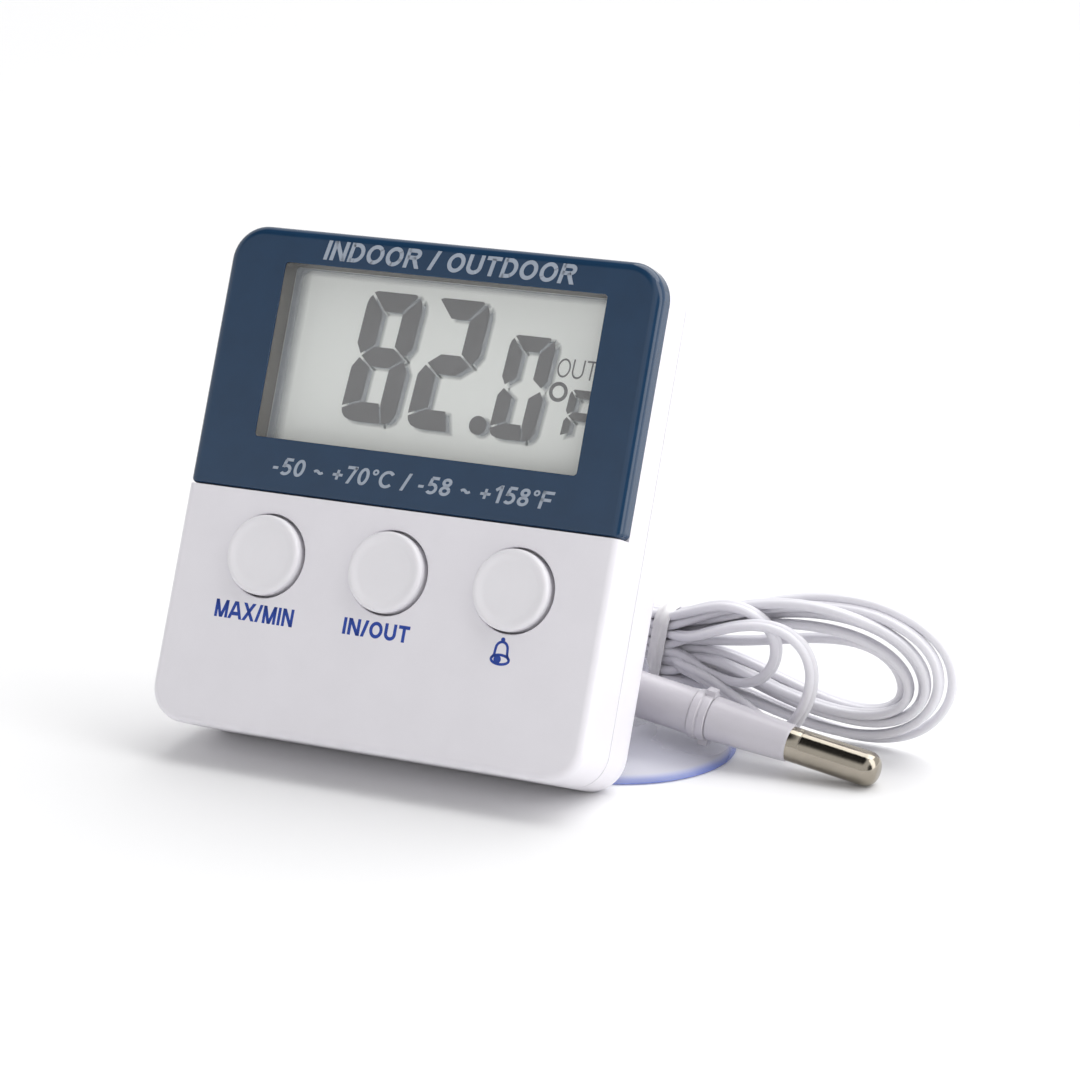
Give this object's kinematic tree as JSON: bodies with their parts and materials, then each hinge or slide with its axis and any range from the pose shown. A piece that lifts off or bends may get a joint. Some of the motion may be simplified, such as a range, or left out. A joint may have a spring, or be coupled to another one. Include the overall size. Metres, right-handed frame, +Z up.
{
  "type": "maximum minimum thermometer",
  "caption": "Leaning white thermometer case with a blue-framed display, round push buttons, a folding leg, and a remote probe in a suction cup on a tied hank of twin lead.",
  "frame": {"origin": "on the table, under the middle of the leaning case's box, without the lead, probe and suction cup", "axes": "+X to the right as the display is read, +Y away from the reader, +Z up; the display faces -Y and leans back 23 degrees"},
  "size_m": [0.1021, 0.0487, 0.0689],
  "materials": {
    "shell": "satin moulded white plastic",
    "bezel": "glossy dark blue",
    "clear_pane": "clear acrylic",
    "display_glass": "pale grey-green reflective liquid crystal display",
    "dark_frame": "matt brown-grey",
    "rubber": "matt silicone rubber",
    "board": "green solder mask",
    "epoxy": "black resin",
    "steel": "bright steel",
    "brass": "bright brass",
    "lead_pvc": "soft satin cable sheath",
    "probe_plastic": "satin moulded white plastic",
    "nickel": "polished warm nickel plate",
    "tie_pvc": "satin plastic tape over a wire",
    "cup_pvc": "clear soft plastic with a blue tint at the lip"
  },
  "bodies": {
    "case": {"front_cover": "shell", "back_cover": "shell", "lens_bezel": "bezel", "window_pane": "clear_pane", "lcd_glass": "display_glass", "lcd_frame": "dark_frame", "zebra_strip": "rubber", "max_min_button_pad": "rubber", "in_out_button_pad": "rubber", "alarm_button_pad": "rubber", "circuit_board": "board", "chip_blob": "epoxy", "indoor_thermistor": "epoxy", "quartz_crystal": "steel", "unit_switch_body": "steel", "battery_cell": "steel", "case_screw_1": "steel", "case_screw_2": "steel", "case_screw_3": "steel", "case_screw_4": "steel", "board_screw_1": "steel", "board_screw_2": "steel", "piezo_buzzer": "brass", "battery_contact": "brass", "lead_strain_relief": "lead_pvc", "lead_case_run": "lead_pvc", "lead_hank": "lead_pvc", "lead_probe_run": "lead_pvc", "probe_boot": "lead_pvc", "probe_rear": "probe_plastic", "probe_collar": "probe_plastic", "probe_front": "probe_plastic", "probe_tip": "nickel", "hank_tie": "tie_pvc", "suction_cup": "cup_pvc"},
    "max_min_key": {"max_min_button": "shell"},
    "in_out_key": {"in_out_button": "shell"},
    "alarm_key": {"alarm_button": "shell"},
    "unit_switch": {"unit_switch_knob": "epoxy"},
    "battery_lid": {"battery_cap": "shell"},
    "stand": {"stand_leg": "shell"}
  },
  "joints": [
    {"name": "max_min_press", "type": "slide", "parent": "case", "child": "max_min_key", "axis": [0, 0.9205, -0.3907], "range_m": [0, 0.0008], "stiffness_N_per_m": 100, "springref_m": -0.001},
    {"name": "in_out_press", "type": "slide", "parent": "case", "child": "in_out_key", "axis": [0, 0.9205, -0.3907], "range_m": [0, 0.0008], "stiffness_N_per_m": 100, "springref_m": -0.001},
    {"name": "alarm_press", "type": "slide", "parent": "case", "child": "alarm_key", "axis": [0, 0.9205, -0.3907], "range_m": [0, 0.0008], "stiffness_N_per_m": 100, "springref_m": -0.001},
    {"name": "unit_switch_slide", "type": "slide", "parent": "case", "child": "unit_switch", "axis": [0, 0.3907, 0.9205], "range_m": [0, 0.002]},
    {"name": "battery_cap_turn", "type": "hinge", "parent": "case", "child": "battery_lid", "pos_m": [0.015, 0.01416, 0.04509], "axis": [0, 0.9205, -0.3907], "range_deg": [0, 40]},
    {"name": "stand_fold", "type": "hinge", "parent": "case", "child": "stand", "pos_m": [0, 0.00469, 0.02738], "axis": [1, 0, 0], "range_deg": [-37, 0]}
  ]
}
